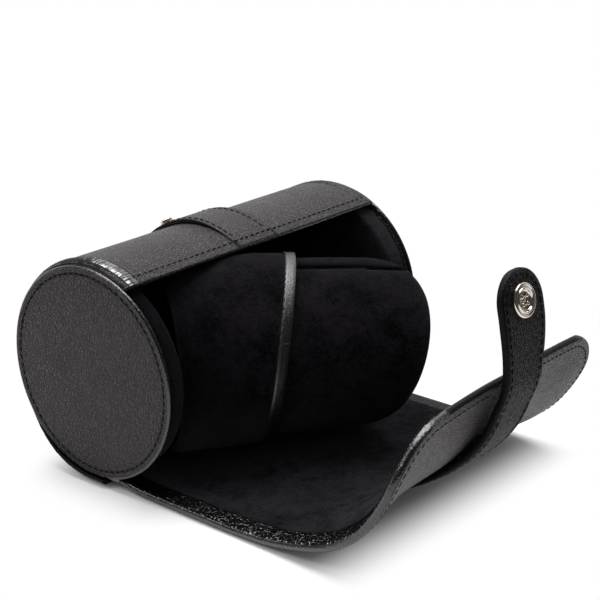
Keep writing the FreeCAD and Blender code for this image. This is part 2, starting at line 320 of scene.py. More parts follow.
# %% [markdown]
# Where the leather is skived thin and turned over an edge, it creases and shines. The creases are a stretched
# noise. Measured in the room it would run across the edge at a bend, so it follows the piece's own flat cut,
# where creases stay square to the edge. A cut edge is painted smooth, with a fine ripple.


# %% Turned, creased leather
def creased_leather(name, stretch_by, depth, low, soft):
    """Only the crests shine: those above low in the crease field, setting in over soft."""
    finish, tree = new_finish(name, (0.003, 0.0027, 0.003), 0.2)
    cut = node_of(tree, "UVMap", uv_map="flat_cut").outputs[0]
    stretched = node_of(tree, "Mapping", Vector=cut, Scale=(1.0, stretch_by, 1.0)).outputs[0]
    fold, broad = noise_field(tree, stretched, 1350.0, 2.0), noise_field(tree, cut, 260.0, 2.0)
    crest = summed(tree, fold, broad, 0.35)
    look = {"IOR": 1.8, "Coat Roughness": 0.12, "Coat Weight": ranged(tree, crest, low, low + soft)}
    look["Specular IOR Level"] = ranged(tree, crest, low, low + soft, 0.02, 1.0)
    look["Roughness"] = ranged(tree, broad, 0.35, 0.65, 0.22, 0.12)
    look["Normal"] = raised(tree, summed(tree, fold, broad, 0.7), depth)
    return set_look(finish, look)


turned = creased_leather("turned_leather", 0.6, 0.0010, 0.70, 0.12)
rolled = creased_leather("rolled_leather", 0.08, 0.00040, 0.52, 0.30)


def fine_finish(name, colour, roughness, field, bump, rough=None, light=None, bend=None, shine=0.5, metal=0.0):
    """A finish with one fine noise, which raises it and may turn its roughness and its tone."""
    finish, tree = new_finish(name, colour, roughness)
    fine = noise_field(tree, bent_places(tree, *bend) if bend else object_places(tree), *field)
    look = {"Normal": raised(tree, fine, bump), "Specular IOR Level": shine, "Metallic": metal}
    if rough:
        look["Roughness"] = ranged(tree, fine, *rough)
    if light:
        look["Base Color"] = between(tree, ranged(tree, fine, 0.3, 0.7), colour, light)
    return set_look(finish, look)


PAINT, PAINT_FIELD, PAINT_BUMP = (0.004, 0.0036, 0.004), (900.0, 3.0), 0.00025
edge_paint = fine_finish("painted_edge", PAINT, 0.22, PAINT_FIELD, PAINT_BUMP, (0.3, 0.7, 0.30, 0.16), shine=0.9)
dull_edge = fine_finish("dull_edge", PAINT, 0.45, PAINT_FIELD, PAINT_BUMP, (0.3, 0.7, 0.53, 0.39), shine=0.10)
print("edges:", turned.name, rolled.name, edge_paint.name, dull_edge.name)

# %% [markdown]
# Suede is all nap: it scatters light softly, shows broad brushed patches and never shines. Hairs could make it,
# but a dark base with sheen, broad noise in its tone and a fine bump is enough from a step away. Its tone also
# has painted shade towards the back and bottom of the sleeve, and painted light on the lining near the drum.
# The sleeve's band is smooth leather.


# %% Suede, and the sleeve's smooth binding
def suede_finish(name, dark, light, sheen, line, start, stop, painted_light_at_start):
    """Suede with painted light and shade along a line: its light tufts go from painted_light_at_start to full.
    """
    finish, tree = new_finish(name, dark, 0.95)
    places = object_places(tree)
    brushed = noise_field(tree, places, 85.0, 6.0, 0.72)
    nap = noise_field(tree, places, 1300.0, 4.0, 0.75)
    tuft = noise_field(tree, places, 420.0, 4.0, 0.8)
    tone = summed(tree, summed(tree, brushed, nap, 0.9), tuft, 0.6)
    # Painted light and shade: a share under 1 along the line darkens the tone as painted shade, and one over 1
    # lightens it as painted light.
    painted_light_and_shade = ranged(tree, shift(tree, "DOT_PRODUCT", places, line), start, stop, painted_light_at_start, 1.0)
    share = reckon(tree, "MULTIPLY", ranged(tree, tone, 1.02, 1.48), painted_light_and_shade)
    look = {"Base Color": between(tree, share, dark, light), "Specular IOR Level": 0.03}
    look["Normal"] = raised(tree, summed(tree, nap, brushed, 0.8), 0.0009)
    look.update({"Sheen Weight": sheen, "Sheen Roughness": 0.32, "Sheen Tint": (0.62, 0.62, 0.70, 1)})
    return set_look(finish, look)


NAP_DARK, NAP_LIGHT = (0.0006, 0.0005, 0.0010), (0.0118, 0.0102, 0.0122)
LINING_DARK, LINING_LIGHT = (0.0026, 0.0024, 0.0036), (0.0190, 0.0174, 0.0205)
# Painted shade: this suede is darker towards the back, the near end and the bottom, inside the drum.
suede = suede_finish("suede", NAP_DARK, NAP_LIGHT, 0.075, (0.5, 0.77, 0.4), -0.014, 0.034, 0.30)
# Painted light: the lining suede is lighter towards the drum, where the drum's shade falls on it.
lining_suede = suede_finish("lining_suede", LINING_DARK, LINING_LIGHT, 0.07, (1, 0, 0), 0.02, 0.08, 2.6)
BAND_DARK, BAND_LIGHT, BAND_FIELD = (0.002, 0.0018, 0.0020), (0.009, 0.0083, 0.0087), (1700.0, 4.0, 0.7)
band_looks = {"rough": (0.3, 0.7, 0.38, 0.20), "light": BAND_LIGHT, "bend": (0.0004, 500.0), "shine": 1.0}
binding = fine_finish("binding_leather", BAND_DARK, 0.3, BAND_FIELD, 0.00018, **band_looks)
print("linings:", suede.name, lining_suede.name, binding.name)

# %% [markdown]
# Thread is dull and finely plied, and the snap is rubbed nickel. One fine noise for each is enough at their
# size. The boards inside keep the solid model's shape, so they only get a finish.

# %% Thread, metal and board
PLY, PLY_ROUGH, PULP = (5200.0, 2.0), (0.3, 0.7, 0.75, 0.5), (800.0, 6.0, 0.7)
RUB, RUB_ROUGH = (900.0, 5.0, 0.7), (0.35, 0.7, 0.10, 0.24)
thread = fine_finish("black_thread", (0.0015, 0.0013, 0.0015), 0.6, PLY, 0.0001, PLY_ROUGH, shine=0.1)
grey_thread = fine_finish("grey_thread", (0.03, 0.029, 0.03), 0.6, PLY, 0.0001, PLY_ROUGH, shine=0.1)
nickel = fine_finish("nickel", (0.82, 0.74, 0.66), 0.14, RUB, 0.00002, RUB_ROUGH, metal=1.0)
board = fine_finish("board", (0.16, 0.13, 0.10), 0.85, PULP, 0.0001, light=(0.24, 0.20, 0.16))
liner = fine_finish("spring_liner", (0.012, 0.012, 0.014), 0.85, PULP, 0.0001, light=(0.024, 0.023, 0.026))
for node_name in ("wrap_stiffener", "near_cap_core", "far_cap_core"):
    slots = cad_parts[node_name].data.materials
    slots.clear()
    slots.append(board)
print("finishes made:", len(bpy.data.materials))

# %% [markdown]
# A leather panel is a flat slab with rounded edges. A bevelled box could make it, but its faces lie in no rows,
# so it would bend badly. The slab's cross-section is a ring, and here a grid is rolled up into that ring and
# carried along the panel. The last rows may grow thinner to close a rounded end.

# %% A slab with rounded edges
WELD = 2e-6
SEAM_GROOVE = [(1.0, 0.0), (0.5, 0.7), (0.0, 1.0), (-0.5, 0.7), (-1.0, 0.0)]


def slab_ring(half_width, half_thick, across, round_steps, seam=None, groove=0.0, bluff=1.0):
    """Points (y, h) round a slab's cross-section: over the inner side first, then back under the outer side.

    A seam lies in a groove on the outer side. A bluff under 1 makes the rounded edges squarer.
    """
    flat = max(half_width - half_thick, 0.0)
    shares = [0.35 * (2 * k / across - 1) - 0.65 * cos(pi * k / across) for k in range(across + 1)]
    inner = [(flat * share, half_thick) for share in shares]
    side = []
    for k in range(1, round_steps):
        angle = pi * (0.5 - k / round_steps)
        out, up = cos(angle) ** bluff, copysign(abs(sin(angle)) ** bluff, sin(angle))
        side.append((flat + half_thick * out, half_thick * up))
    if seam is None:
        outer = [(-y, -h) for y, h in inner]
    else:
        line = half_width - seam
        near = [(flat, 0.0)] + [(line + off, sunk) for off, sunk in SEAM_GROOVE]
        middle = [((line - 1.0) * (1 - 2 * k / across), 0.0) for k in range(1, across)]
        far = [(-y, sunk) for y, sunk in reversed(near)]
        outer = [(y, -half_thick + groove * sunk) for y, sunk in near + middle + far]
    back = [(-y, -h) for y, h in side]
    return inner + side + outer + back


def faced_outward(bm):
    """A closed mesh whose faces point outward has a volume above zero."""
    if bm.calc_volume(signed=True) < 0:
        bmesh.ops.reverse_faces(bm, faces=bm.faces)
    return bm


def closed(bm, crisp=False):
    """Welds a rolled-up grid, fills its open ends and turns its faces outward."""
    bmesh.ops.remove_doubles(bm, verts=bm.verts, dist=WELD)
    ends = [edge for edge in bm.edges if edge.is_boundary]
    for edge in ends:
        edge.smooth = not crisp
    bmesh.ops.holes_fill(bm, edges=ends, sides=0)
    bmesh.ops.recalc_face_normals(bm, faces=bm.faces)
    return faced_outward(bm)


def rolled_grid(ring_of, rows, place, finish_of=None):
    """A grid rolled into a closed slab. ring_of(s) is its cross-section, place(s, y, h) its spot in space."""
    rings = [ring_of(s) for s in rows]
    steps, last = len(rings[0]), len(rows) - 1
    bm = bmesh.new()
    bmesh.ops.create_grid(bm, x_segments=steps, y_segments=last, size=1.0)
    cut = bm.loops.layers.uv.new("flat_cut")
    flat = {}
    for vert in bm.verts:
        i, j = round((vert.co.x + 1) / 2 * steps), round((vert.co.y + 1) / 2 * last)
        flat[vert] = (rows[j], *rings[j][i % steps])
    for face in bm.faces:
        for loop in face.loops:
            s, y, _ = flat[loop.vert]
            loop[cut].uv = (s * mm, y * mm)
        if finish_of:
            spots = [flat[vert] for vert in face.verts]
            face.material_index = finish_of(*(sum(values) / len(spots) for values in zip(*spots)))
    for vert, spot in flat.items():
        vert.co = place(*spot) * mm
    return closed(bm, crisp=True)


print("points round a slab:", len(slab_ring(10.0, 1.0, across=14, round_steps=8)))

# %% [markdown]
# Every stitch is a short, fat thread that lies in the leather. An array along a curve could make a row, but
# each panel would need its own curve. Here a small ball is stretched along the seam and laid down through the
# same bend as the panel that it sews, so a row follows any panel.

# %% A row of stitches
STITCH_PITCH = 3.0


def along(points, pitch):
    """Evenly spaced (place, direction) pairs on a line of flat points."""
    spots, carry = [], pitch / 2
    for start, end in zip(points, points[1:]):
        step = Vector(end) - Vector(start)
        length = step.length
        while carry < length:
            spots.append((Vector(start) + step * (carry / length), step / length))
            carry += pitch
        carry -= length
    return spots


def sew(bm, spots, place, lift, length=2.2, width=0.60, thick=0.44):
    for centre, line in spots:
        ball = bmesh.ops.create_uvsphere(bm, u_segments=8, v_segments=5, radius=0.5)
        for vert in ball["verts"]:
            l, w, h = vert.co.z * length, vert.co.x * width, vert.co.y * thick
            s = centre.x + line.x * l - line.y * w
            y = centre.y + line.y * l + line.x * w
            vert.co = place(s, y, lift + h) * mm
    return bm


def seam_piece(name, bm, finish=thread):
    return make_piece(name, faced_outward(bm), [finish])


print("stitches in 90 mm:", len(along([(0, 0), (90, 0)], STITCH_PITCH)))

# %% [markdown]
# The wrap is one panel bent round the drum, from the stitched lip in front, over the top and down the back, to
# the table, where it runs straight on into the flap. A tube could be cut open for it, but a bend that takes
# flat places, measured from the lip, also serves the lining, the strap and every stitch.

# %% The bend round the drum
BOTTOM_RUN = (pi + LIP_ANGLE) * WRAP_RADIUS
NOSE = WALL / 2
DRUM_MIDDLE = Vector((0, 0, AXIS_HEIGHT))


def on_wrap(s, y, outward):
    """Flat place on the wrap's outer face, measured from the lip, raised outward in mm."""
    if s > BOTTOM_RUN:
        return Vector((s - BOTTOM_RUN, y, AXIS_HEIGHT - WRAP_RADIUS - outward))
    angle = LIP_ANGLE - max(s, 0.0) / WRAP_RADIUS
    spoke = Vector((sin(angle), 0, cos(angle)))
    middle = DRUM_MIDDLE + Vector((0, y, 0))
    if s >= 0:
        return middle + spoke * (WRAP_RADIUS + outward)
    ahead = Vector((cos(angle), 0, -sin(angle)))
    round_by = min(-s / (NOSE + 0.6), pi)
    bent = spoke * cos(round_by) + ahead * sin(round_by)
    return middle + spoke * (WRAP_RADIUS - NOSE) + bent * (NOSE + outward)


def ripple(*place):
    return noise.noise(Vector(place))


def creep(s, y, size):
    """Slow unevenness of hand-worked leather, in mm."""
    return size * ripple(s * 0.045, y * 0.045, 3.7)


print("from the lip to the table in mm:", round(BOTTOM_RUN, 1))

# %% [markdown]
# The leather is grained outside and creased inside, and skived thin towards the lip, which has a round nose.
# Two sheets could be laid together, but one rolled slab has no gap between its sides and its nose.

# %% The wrap's leather
WRAP_END = BOTTOM_RUN + FLAT_RUN / 2
SKIVED = 1.05
LIP_EDGE = 1.0


def spread(start, stop, steps):
    """Even steps from start to stop, both included."""
    return [start + (stop - start) * k / steps for k in range(steps + 1)]


def round_off(size, past):
    """What is left of a size that closes in a round, this far past the start of the round."""
    return size if past <= 0 else sqrt(max(size**2 - past**2, 0.0))


def wrap_thick(s):
    """Half the wrap's thickness."""
    return SKIVED + (NOSE - SKIVED) * ease(2.0, 16.0, s)


def wrap_ring(s):
    half = wrap_thick(s)
    return slab_ring(WRAP_HALF, round_off(half, half - s), 64, 8)


def wrap_place(s, y, h):
    return on_wrap(s, y, -wrap_thick(s) - h + creep(s, y, 0.18) * ease(0, 12, s))


def wrap_side(s, y, h):
    return 2 if s < LIP_EDGE else 1 if h > 0.0 else 0


wrap_rows = [NOSE * (1 - cos(pi / 2 * k / 6)) for k in range(6)] + spread(NOSE, WRAP_END, 96)
bm = rolled_grid(wrap_ring, wrap_rows, wrap_place, wrap_side)
wrap_skin = make_piece("wrap_skin", bm, [grain, turned, edge_paint])
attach(wrap_skin, "case")
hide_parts("wrap_leather")
print("wrap leather, flat length in mm:", round(WRAP_END, 1))

# %% [markdown]
# At each end the leather is turned over a soft filler and tucked in against the cap, and the turn gathers it
# into fine creases. Bump could draw them, but they also show in the outline, so the turn is a rounded roll of
# its own with the creases modelled.

# %% The wrap's turned ends
ROLL = [(62.5, -0.05), (64.0, 0.25), (65.6, 0.50), (67.0, 0.50), (68.1, 0.22), (69.0, -0.25), (69.7, -0.9)]
ROLL += [(70.1, -1.7), (69.9, -2.3), (69.2, -2.0), (68.0, -1.3), (66.5, -0.9), (62.5, -0.6)]
FAR_ROLL_RISE = 0.12
DROOP_ALONG, DROOP_OUT = 2.6, 1.1
SHINY_RUN = 21
for end, name in ((-1, "near"), (1, "far")):

    def roll_place(s, y, h):
        """The near roll droops towards the table, and the far one lies flatter."""
        h = h if end < 0 else min(h, FAR_ROLL_RISE)
        low = ease(95, 140, s) * ease(66, 70, y) if end < 0 else 0.0
        y, h = y + DROOP_ALONG * low, h + DROOP_OUT * low
        crease = ripple(s * 0.85, abs(y) * 0.16, 4.4 + end) + 0.5 * ripple(s * 2.1, abs(y) * 0.3, 9.0)
        rise = 0.14 * crease * ease(64.0, 67.5, abs(y)) * ease(-1.1, -0.4, h)
        return on_wrap(s, end * abs(y), h + rise - 0.25 * (1 - ease(0, 3, s)))

    def roll_side(s, y, h):
        """Creased and shiny over the crest near the lip, dull further back and towards the cap."""
        shiny = s + 12 * ripple(s * 0.9, y * 0.8, 2.0) < SHINY_RUN
        return 0 if shiny and y <= 68.5 and h >= -0.3 else 1

    bm = rolled_grid(lambda s: ROLL, spread(0.6, WRAP_END, 330), roll_place, roll_side)
    roll = make_piece(name + "_turned_end", bm, [rolled if end < 0 else grain, dull_edge])
    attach(roll, "case")
    print(roll.name, "faces:", len(roll.data.polygons))

# %% [markdown]
# The lining is thin suede. It starts behind the lip, so that the leather's turned edge shows inside. It could
# be a second finish on the leather, but as a slab of its own its cut edge has a thickness.

# %% The wrap's suede lining
LINING_START = 9.0
LINING_GAP = 0.12
WRAP_LINING_HALF = WRAP_HALF - 0.6


def wrap_lining_place(s, y, h):
    return on_wrap(s, y, -WALL - LINING_GAP - h + creep(s, y, 0.12))


lining_rows = spread(LINING_START, WRAP_END, 80)
bm = rolled_grid(lambda s: slab_ring(WRAP_LINING_HALF, 0.3, 40, 4), lining_rows, wrap_lining_place)
wrap_suede = make_piece("wrap_suede", bm, [lining_suede])
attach(wrap_suede, "case")
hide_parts("wrap_lining")

# %% [markdown]
# One row of stitches closes the lip, and lies higher where it runs over the strap's thin end in the middle. So
# it is sewn in three runs and at two heights, through the wrap's own bend.

# %% The lip's seam
LIP_SEAM = 4.2
strap_edge = STRAP_WIDTH / 2 + 0.2
lip_end = WRAP_HALF - 3.0
lip_rows = [(-strap_edge, -lip_end, 0.05), (strap_edge, lip_end, 0.05), (-strap_edge, strap_edge, 0.5)]
bm = bmesh.new()
for start, stop, lift in lip_rows:
    row = along([(LIP_SEAM, start), (LIP_SEAM, stop)], STITCH_PITCH)
    sew(bm, row, lambda s, y, h: wrap_place(s, y, -wrap_thick(s) - h), lift)
lip_seam = seam_piece("lip_seam", bm)
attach(lip_seam, "case")
print("lip stitches:", len(lip_seam.data.vertices) // 34)


# %% [markdown]
# A cap is a round leather disc over a board, closed inside by a suede-covered drum. Bevelled cylinders could
# make it, but not its dips and domes. Round pieces are turned: their profile is drawn once and spun about a
# line.


# %% Turning a profile
def turned_piece(profile, centre, axis, steps, start):
    """Spins a profile of (radius, along) points about an axis, from a starting direction."""
    axis, spoke = Vector(axis).normalized(), Vector(start)
    bm = bmesh.new()
    verts = [bm.verts.new((Vector(centre) + spoke * r + axis * a) * mm) for r, a in profile]
    edges = [bm.edges.new(pair) for pair in zip(verts, verts[1:])]
    centre = Vector(centre) * mm
    bmesh.ops.spin(bm, geom=verts + edges, cent=centre, axis=axis, angle=2 * pi, steps=steps, use_merge=True)
    return closed(bm)


def arc(x, y, across, up, degrees):
    """Points round a centre, from straight up towards the right."""
    turns = [radians(a) for a in degrees]
    return [(x + across * sin(a), y + up * cos(a)) for a in turns]


print("a quarter round:", [rounded(spot, 2) for spot in arc(0, 0, 1, 1, (0, 45, 90))])

# %% [markdown]
# The disc has a slight dome, a stitch ring in a dip and a painted rim, all in one profile. The far cap is the
# near one turned, because both are cut to the same pattern.

# %% The two caps
RING_RADIUS, RIM, RIM_ROUND = 37.8, 40.7, 0.9
SEAM_DIP = [(-0.6, 0.0), (-0.28, 0.15), (0.0, 0.22), (0.28, 0.15), (0.6, 0.0)]
DEPTH, DRUM, DRUM_ROUND = 8.5, LINING_RADIUS - 0.1, 1.2
RING_SUNK = 0.12
disc_profile = [(RING_RADIUS * k / 14, DISC_THICK + 0.35 * (1 - (k / 14) ** 4)) for k in range(14)]
disc_profile += [(RING_RADIUS + step, DISC_THICK - sunk) for step, sunk in SEAM_DIP]
disc_profile += [(RIM - 1.1, DISC_THICK + 0.12)]
disc_profile += arc(RIM - RIM_ROUND, DISC_THICK - 0.8, RIM_ROUND, RIM_ROUND, range(0, 106, 15))
disc_profile += [(RIM - 0.5, 0.1), (RIM - 1.2, -0.05), (0.0, -0.05)]
drum_profile = [(0.0, 0.25 - DEPTH), (DRUM * 0.5, 0.1 - DEPTH), (DRUM - 3.0, -DEPTH)]
drum_profile += arc(DRUM - DRUM_ROUND, DRUM_ROUND - DEPTH, DRUM_ROUND, -DRUM_ROUND, range(0, 91, 18))
drum_profile += [(DRUM, -DEPTH * 0.5), (DRUM + 0.1, -0.9), (DRUM - 0.7, -0.05), (0.0, -0.05)]
ring_length = 2 * pi * RING_RADIUS
ring_stitches = round(ring_length / STITCH_PITCH)
ring_line = arc(0, 0, RING_RADIUS, RING_RADIUS, range(90, -271, -1))
for end, name in ((-1, "near"), (1, "far")):
    face = (0, end * WRAP_HALF, AXIS_HEIGHT)
    bm = turned_piece(disc_profile, face, (0, end, 0), 96, (1, 0, 0))
    for part in bm.faces:
        off = part.calc_center_median() / mm - DRUM_MIDDLE
        part.material_index = 1 if hypot(off.x, off.z) > RIM - RIM_ROUND else 0
    disc = make_piece(name + "_disc", bm, [disc_grain, edge_paint])
    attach(disc, "case")
    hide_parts(name + "_cap_disc")

    def on_face(x, z, h):
        return Vector((x, end * (WRAP_HALF + DISC_THICK - RING_SUNK + h), AXIS_HEIGHT + z))

    bm = sew(bmesh.new(), along(ring_line, ring_length / ring_stitches), on_face, 0.0)
    seam = seam_piece(name + "_disc_seam", bm)
    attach(seam, "case")
    bm = turned_piece(drum_profile, face, (0, end, 0), 96, (1, 0, 0))
    # Painted light and shade: the near cap's suede drum gets the suede painted dark there, and the far cap's the
    # lining suede painted light.
    suede_cap = make_piece(name + "_cap_suede", bm, [suede if end < 0 else lining_suede])
    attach(suede_cap, "case")
    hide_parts(name + "_cap_lining")
    print(name, "cap:", ring_stitches, "stitches in its ring")

# %% [markdown]
# The flap is the same panel carried on. At rest it lies flat for half its length and then rises in one soft
# curve. The solid model has six stiff strips on hinges, and strips alone would show as facets. So the curve is
# a row of arcs, each from the middle of one strip to the middle of the next, and each arc is a piece of its own.


# %% The flap's soft line
def slope(angle):
    return Vector((cos(angle), 0, sin(angle)))


hinges = [Vector((FLAT_RUN, 0, LINING_HEIGHT))]
headings, heading = [], 0.0
for bend in REST_BENDS:
    heading += bend
    headings.append(heading)
    hinges.append(hinges[-1] + slope(heading) * STRIP)
middles = [Vector((FLAT_RUN / 2, 0, LINING_HEIGHT))] + [(a + b) / 2 for a, b in zip(hinges, hinges[1:])]
MIDDLE_RUN = [FLAT_RUN / 2] + [FLAT_RUN + STRIP * (k + 0.5) for k in range(6)]
FLAP_END = FLAT_RUN + STRIP * 6
print("flap end in mm:", rounded(hinges[-1]))


def flap_line(s):
    """Point on the flap's lining line and the direction along it."""
    if s >= MIDDLE_RUN[-1]:
        ahead = slope(headings[-1])
        return middles[-1] + ahead * (s - MIDDLE_RUN[-1]), ahead
    part = max(k for k in range(6) if s >= MIDDLE_RUN[k] or k == 0)
    share = (s - MIDDLE_RUN[part]) / (MIDDLE_RUN[part + 1] - MIDDLE_RUN[part])
    start, corner, end = middles[part], hinges[part], middles[part + 1]
    spot = start * (1 - share) ** 2 + corner * 2 * share * (1 - share) + end * share**2
    ahead = ((corner - start) * (1 - share) + (end - corner) * share).normalized()
    return spot, ahead


FLAP_EASE, NEAR_SKEW, FAR_SKEW = 2.0, 8.0, -0.08
PULLED_IN, FLARE, BULGE_RUN, BULGE_WIDTH = 3.0, 5.4, 106, 24
FAR_SAG = 2.2


def on_flap(s, y, inward):
    """Flat place on the flap, measured from under the drum, raised inward from its lining face in mm.

    The sides settle on the table beside the strap. Where the flap rises, its middle is pulled in and its sides
    flare, and the far corner sags.
    """
    spot, ahead = flap_line(s)
    spot = spot + Vector((-ahead.z, 0, ahead.x)) * inward
    rest = ease(9, 24, s) * (1 - ease(62, 92, s))
    spot.z -= (STRAP_THICK - 0.15) * ease(10, 46, abs(y)) * rest
    flare = ease(38, 68, abs(y + 6))
    bulge = (FLARE * flare - PULLED_IN) * exp(-(((s - BULGE_RUN) / BULGE_WIDTH) ** 2))
    skew = NEAR_SKEW * (y / FLAP_HALF) ** 2 if y < 0 else FAR_SKEW * y
    spot.x += bulge + (FLAP_EASE + skew) * ease(48, 100, s)
    spot.z -= FAR_SAG * ease(15, 66, y) * ease(110, 150, s)
    spot.y = y
    return spot


# %% [markdown]
# The lining stops short of the flap's edge all round, so the turned leather shows there as a creased band.
# Leather, lining and seam could each be one long piece, but they are cut at the same places, one piece to
# each arc.

# %% The flap's leather, lining and seams
EDGE = WALL / 2
SUEDE_INSET, SUEDE_THICK = 8.0, 0.32
RIM_SIDE = 40
FLAP_SEAM, SEAM_START = 3.3, 20.0
STITCH_SUNK = 0.3
STRIP_STEPS = 14


def closing(start, stop, steps):
    """Steps that grow closer towards stop, for a round end."""
    return [start + (stop - start) * sin(pi / 2 * k / steps) for k in range(steps + 1)]


def panel_rows(part, end, radius):
    """Rows of one arc of the flap. The last runs on to the round-cornered end."""
    if part < 5:
        return spread(MIDDLE_RUN[part], MIDDLE_RUN[part + 1], STRIP_STEPS)
    return spread(MIDDLE_RUN[part], end - radius, 9)[:-1] + closing(end - radius, end, 26)


def panel_ring(half, end, radius, thick, across):
    def ring(s):
        half_thick = round_off(thick, thick - (end - s))
        half_width = half - radius + round_off(radius, s - (end - radius))
        return slab_ring(max(half_width, half_thick), half_thick, across, 8)

    return ring


def leather_place(s, y, h):
    return on_flap(s, y, h - EDGE + creep(s, y, 0.12))


def suede_place(s, y, h):
    return on_flap(s, y, LINING_GAP + h + creep(s, y, 0.12))


def sunk(s):
    """How deep stitches are pressed in where they lie on the table."""
    return STITCH_SUNK * (1 - ease(66, 92, s))


def flap_stitch_place(s, y, h):
    return leather_place(s, y, -EDGE - h + sunk(s))


def flap_side(s, y, h):
    """Grain outside, a rim that is glossy on the near side only, creases inside but for the far side."""
    inside = 3 if y > RIM_SIDE and s < FLAP_END - CORNER_RADIUS else 1
    rim = 2 if y < -RIM_SIDE else 3
    return inside if h > 0.55 * EDGE else rim if h > -0.80 * EDGE else 0


def hinge_blend(piece):
    """Bakes a piece's place into its mesh. The piece is one arc, spanning the hinge between two strips."""
    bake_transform(piece)


seam_end, seam_half, seam_radius = (size - FLAP_SEAM for size in (FLAP_END, FLAP_HALF, CORNER_RADIUS))
near_seam = [(SEAM_START, -seam_half)]
near_seam += arc(seam_end - seam_radius, seam_radius - seam_half, seam_radius, -seam_radius, range(0, 91, 6))
flap_stitches = along(near_seam + [(s, -y) for s, y in reversed(near_seam)], STITCH_PITCH)
strap_clear = STRAP_WIDTH / 2 + 0.6
inner_end, inner_half, inner_radius = (size - SUEDE_INSET for size in (FLAP_END, FLAP_HALF, CORNER_RADIUS))
skin_ring = panel_ring(FLAP_HALF, FLAP_END, CORNER_RADIUS, EDGE, 56)
suede_ring = panel_ring(inner_half, inner_end, inner_radius, SUEDE_THICK, 40)
for part in range(6):
    number = str(part + 1)
    rows = panel_rows(part, FLAP_END, CORNER_RADIUS)
    bm = rolled_grid(skin_ring, rows, leather_place, flap_side)
    skin = make_piece("flap_skin_" + number, bm, [grain, turned, edge_paint, dull_edge])
    hinge_blend(skin)
    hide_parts("flap_leather_" + number, "flap_stiffener_" + number)

    rows = panel_rows(part, inner_end, inner_radius)
    lining = make_piece("flap_suede_" + number, rolled_grid(suede_ring, rows, suede_place), [lining_suede])
    hinge_blend(lining)
    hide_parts("flap_lining_" + number)

    first, last = MIDDLE_RUN[part], FLAP_END if part == 5 else MIDDLE_RUN[part + 1]
    own = [(c, d) for c, d in flap_stitches if first <= c.x < last and abs(c.y) >= strap_clear]
    seam = seam_piece("flap_seam_" + number, sew(bmesh.new(), own, flap_stitch_place, 0.05))
    hinge_blend(seam)
print("flap stitches:", len(flap_stitches))

# %% [markdown]
# The strap is a double layer of leather sewn along both edges. Its front end is skived thin under the lip's
# seam. A plain band would look like tape, so each seam lies in a groove and the edges are nearly square.

# %% The strap round the drum
HALF_STRAP = STRAP_THICK / 2
STRAP_SEAM, STRAP_GROOVE, STRAP_BLUFF, STRAP_EDGE = 2.3, 0.22, 0.6, 0.75
STRAP_FRONT, SKIVED_RUN, SEAM_FRONT = 1.2, 14.0, 6.5
seam_y = STRAP_WIDTH / 2 - STRAP_SEAM


def strap_share(s):
    """How thick the strap is: skived at the lip, full further back."""
    return 0.14 + 0.76 * ease(1.0, 34.0, s) + 0.10 * ease(40.0, 80.0, s)


def strap_ring(s):
    share = strap_share(s)
    return slab_ring(STRAP_WIDTH / 2, HALF_STRAP * share, 14, 8, STRAP_SEAM, STRAP_GROOVE * share, STRAP_BLUFF)


def strap_place(s, y, h):
    half = HALF_STRAP * strap_share(s)
    pucker = 0.12 * ripple(s * 0.5, y * 0.7, 8.1) * (1 - ease(3, 9, s))
    uneven = creep(s, y, 0.18) * ease(0, 12, s) * (1 - ease(110, 138, s))
    return on_wrap(s, y, half - h - 0.05 + pucker + uneven)


def strap_stitch_place(s, y, h):
    """Stitches under the drum are pressed in, because they lie on the table."""
    return strap_place(s, y, -HALF_STRAP * strap_share(s) - h + STITCH_SUNK * ease(118, 140, s))


def strap_side(s, y, h):
    """Painted edge along the strap's sides."""
    return 1 if abs(y) > STRAP_WIDTH / 2 - STRAP_EDGE else 0


def edge_seams(start, stop, place):
    """A row of stitches along each of the strap's two edges."""
    bm = bmesh.new()
    for y in (-seam_y, seam_y):
        sew(bm, along([(start, y), (stop, y)], STITCH_PITCH), place, 0.0)
    return bm


strap_rows = spread(STRAP_FRONT, SKIVED_RUN, 10)[:-1] + spread(SKIVED_RUN, WRAP_END, 80)
bm = rolled_grid(strap_ring, strap_rows, strap_place, strap_side)
strap_body = make_piece("strap_drum", bm, [grain, dull_edge])
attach(strap_body, "case")
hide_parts("body_strap")
strap_seam = seam_piece("strap_drum_seam", edge_seams(SEAM_FRONT, WRAP_END, strap_stitch_place))
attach(strap_seam, "case")
print("strap on the drum, length in mm:", round(WRAP_END - STRAP_FRONT, 1))

# %% [markdown]
# On the flap the strap lies under the outer face. Where the flap rises, it stands a little away and is fuller.
# It is cut into the same six arcs as the flap.

# %% The strap under the flap
STRAP_SWELL, STRAP_STAND = 0.4, 2.3


def half_strap(s):
    """Half the strap's thickness under the flap."""
    return HALF_STRAP + STRAP_SWELL * ease(95, 128, s)


def flap_strap_ring(s):
    return slab_ring(STRAP_WIDTH / 2, half_strap(s), 14, 8, STRAP_SEAM, STRAP_GROOVE, STRAP_BLUFF)


def flap_strap_place(s, y, h):
    stand = STRAP_STAND * ease(106, 142, s)
    return on_flap(s, 0, -WALL - half_strap(s) - stand + h + 0.06) + Vector((0, y, 0))


def flap_strap_stitch_place(s, y, h):
    return flap_strap_place(s, y, -half_strap(s) - h + sunk(s))


for part in range(6):
    number = str(part + 1)
    start, stop = MIDDLE_RUN[part], MIDDLE_RUN[part + 1]
    bm = rolled_grid(flap_strap_ring, spread(start, stop, STRIP_STEPS), flap_strap_place, strap_side)
    # Painted shade: this stretch takes the strap's darker leather copy.
    piece = make_piece("strap_flap_" + number, bm, [shaded_strap_grain, dull_edge])
    hinge_blend(piece)
    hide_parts("flap_strap_" + number)
    seam = seam_piece("strap_flap_seam_" + number, edge_seams(start, stop, flap_strap_stitch_place))
    hinge_blend(seam)
print("strap under the flap, length in mm:", MIDDLE_RUN[-1] - MIDDLE_RUN[0])

